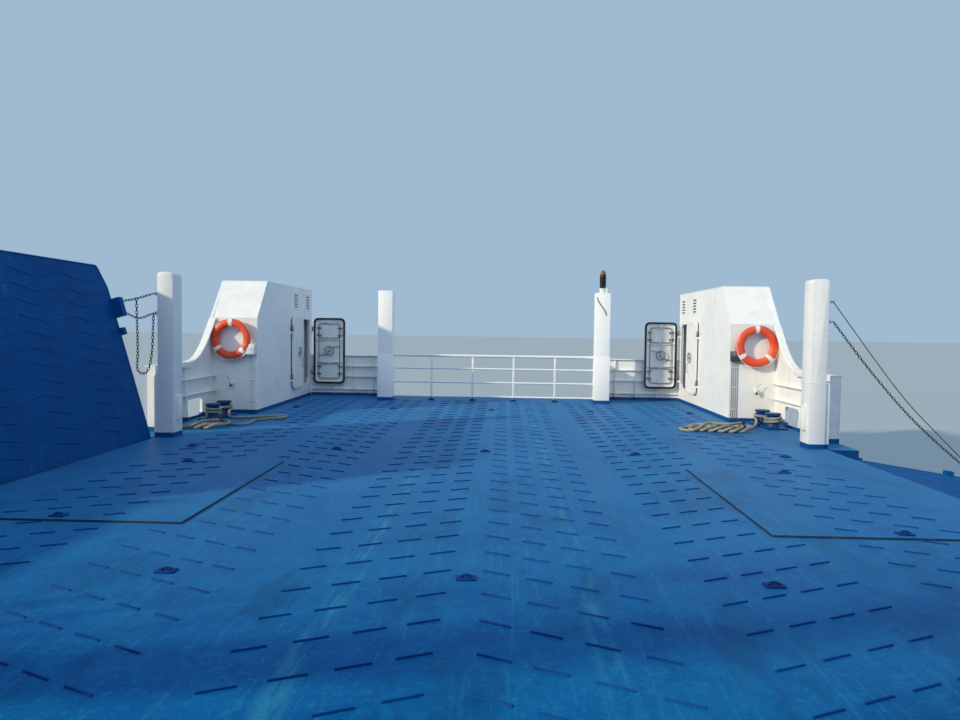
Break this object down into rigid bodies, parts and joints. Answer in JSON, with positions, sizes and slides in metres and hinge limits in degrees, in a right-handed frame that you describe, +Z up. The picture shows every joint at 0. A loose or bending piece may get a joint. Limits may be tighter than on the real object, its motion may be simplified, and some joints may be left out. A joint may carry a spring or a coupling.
{
  "type": "open-deck passenger and vehicle ferry",
  "caption": "Double-sided ferry with an open vehicle deck, hinged side ramps on chains, deckhouses with doors, a passenger saloon, wheelhouse, propellers and rudders.",
  "frame": {"origin": "middle of the flat bottom of the hull", "axes": "+X to starboard, +Y toward the open end with the side ramps, +Z up"},
  "size_m": [13.0266, 38.4, 14.4],
  "materials": {
    "hull_paint": "weathered dark blue paint, mid-blue on the deck",
    "white_paint": "weathered white gloss with rust runs",
    "blue_paint": "worn blue gloss",
    "dark_blue_paint": "scuffed dark blue paint",
    "steel": "galvanised, dull and rusty at the joints",
    "bronze": "cast bronze, brushed",
    "rope": "laid fibre rope, grey with dirt",
    "lifebuoy": "orange-red shell with white bands",
    "window": "clear toughened glass",
    "seat": "moulded blue shells",
    "lamp": "black lantern with an amber lens",
    "white_plastic": "white moulded shell",
    "console": "dark grey panels"
  },
  "bodies": {
    "ship": {"hull": "hull_paint", "ramp_post_stbd": "white_paint", "ramp_post_port": "white_paint", "end_post_stbd": "white_paint", "end_post_port": "white_paint", "beacon": "lamp", "side_plating_stbd": "white_paint", "side_plating_port": "white_paint", "house_shell_stbd": "white_paint", "house_shell_port": "white_paint", "house_inner_stbd": "white_paint", "house_inner_port": "white_paint", "lifebuoy_stbd": "lifebuoy", "lifebuoy_port": "lifebuoy", "end_rail": "blue_paint", "end_bulwark_stbd": "white_paint", "end_bulwark_port": "white_paint", "stern_bulwark": "white_paint", "bollard_stbd": "blue_paint", "bollard_port": "blue_paint", "rope_turns_stbd": "rope", "rope_heap_stbd": "rope", "rope_lead_stbd": "rope", "rope_turns_port": "rope", "rope_heap_port": "rope", "rope_lead_port": "rope", "chain_stbd": "steel", "chain_port": "steel", "casing_stbd": "white_paint", "casing_port": "white_paint", "passenger_deck": "white_paint", "saloon_walls": "white_paint", "saloon_glass_stbd": "window", "saloon_glass_port": "window", "saloon_seats": "seat", "boat_deck": "white_paint", "boat_deck_rail": "white_paint", "funnel_stbd": "blue_paint", "funnel_port": "blue_paint", "life_raft_stbd": "white_plastic", "life_raft_port": "white_plastic", "wheelhouse_walls": "white_paint", "wheelhouse_glass": "window", "wheelhouse_roof": "white_paint", "wheelhouse_console": "console", "mast": "white_paint", "stairs_stbd": "steel", "stairs_port": "steel"},
    "stbd_ramp": {"ramp_stbd": "dark_blue_paint"},
    "port_ramp": {"ramp_port": "dark_blue_paint"},
    "stbd_screw": {"propeller_stbd": "bronze"},
    "port_screw": {"propeller_port": "bronze"},
    "stbd_rudder": {"rudder_stbd": "dark_blue_paint"},
    "port_rudder": {"rudder_port": "dark_blue_paint"},
    "stbd_open_door": {"door_open_stbd": "white_paint"},
    "port_open_door": {"door_open_port": "white_paint"},
    "stbd_shut_door": {"door_shut_stbd": "white_paint"},
    "port_shut_door": {"door_shut_port": "white_paint"},
    "bridge_door": {"wheelhouse_door": "white_paint"},
    "scanner": {"radar_scanner": "white_plastic"}
  },
  "joints": [
    {"name": "stbd_ramp_hinge", "type": "hinge", "parent": "ship", "child": "stbd_ramp", "pos_m": [4.79, 9.5, 2.53], "axis": [0, -1, 0], "range_deg": [0, 82.7]},
    {"name": "port_ramp_hinge", "type": "hinge", "parent": "ship", "child": "port_ramp", "pos_m": [-4.79, 9.5, 2.53], "axis": [0, -1, 0], "range_deg": [0, 82.7]},
    {"name": "stbd_screw_turn", "type": "hinge", "parent": "ship", "child": "stbd_screw", "pos_m": [2.3, -16.7, 0.78], "axis": [0, 1, 0], "continuous": true},
    {"name": "port_screw_turn", "type": "hinge", "parent": "ship", "child": "port_screw", "pos_m": [-2.3, -16.7, 0.78], "axis": [0, 1, 0], "continuous": true},
    {"name": "stbd_rudder_turn", "type": "hinge", "parent": "ship", "child": "stbd_rudder", "pos_m": [2.3, -17.5, 1.5], "axis": [0, 0, 1], "range_deg": [-35, 35]},
    {"name": "port_rudder_turn", "type": "hinge", "parent": "ship", "child": "port_rudder", "pos_m": [-2.3, -17.5, 1.5], "axis": [0, 0, 1], "range_deg": [-35, 35]},
    {"name": "stbd_open_door_hinge", "type": "hinge", "parent": "ship", "child": "stbd_open_door", "pos_m": [4.285, 18.69, 3.66], "axis": [0, 0, 1], "range_deg": [0, 90]},
    {"name": "port_open_door_hinge", "type": "hinge", "parent": "ship", "child": "port_open_door", "pos_m": [-4.285, 18.69, 3.66], "axis": [0, 0, -1], "range_deg": [0, 90]},
    {"name": "stbd_shut_door_hinge", "type": "hinge", "parent": "ship", "child": "stbd_shut_door", "pos_m": [4.285, 17.095, 3.66], "axis": [0, 0, 1], "range_deg": [0, 100]},
    {"name": "port_shut_door_hinge", "type": "hinge", "parent": "ship", "child": "port_shut_door", "pos_m": [-4.285, 17.095, 3.66], "axis": [0, 0, -1], "range_deg": [0, 100]},
    {"name": "bridge_door_hinge", "type": "hinge", "parent": "ship", "child": "bridge_door", "pos_m": [-0.41, -4.53, 10.1], "axis": [0, 0, -1], "range_deg": [0, 100]},
    {"name": "scanner_turn", "type": "hinge", "parent": "ship", "child": "scanner", "pos_m": [0, -2.2, 11.8], "axis": [0, 0, 1], "continuous": true}
  ]
}
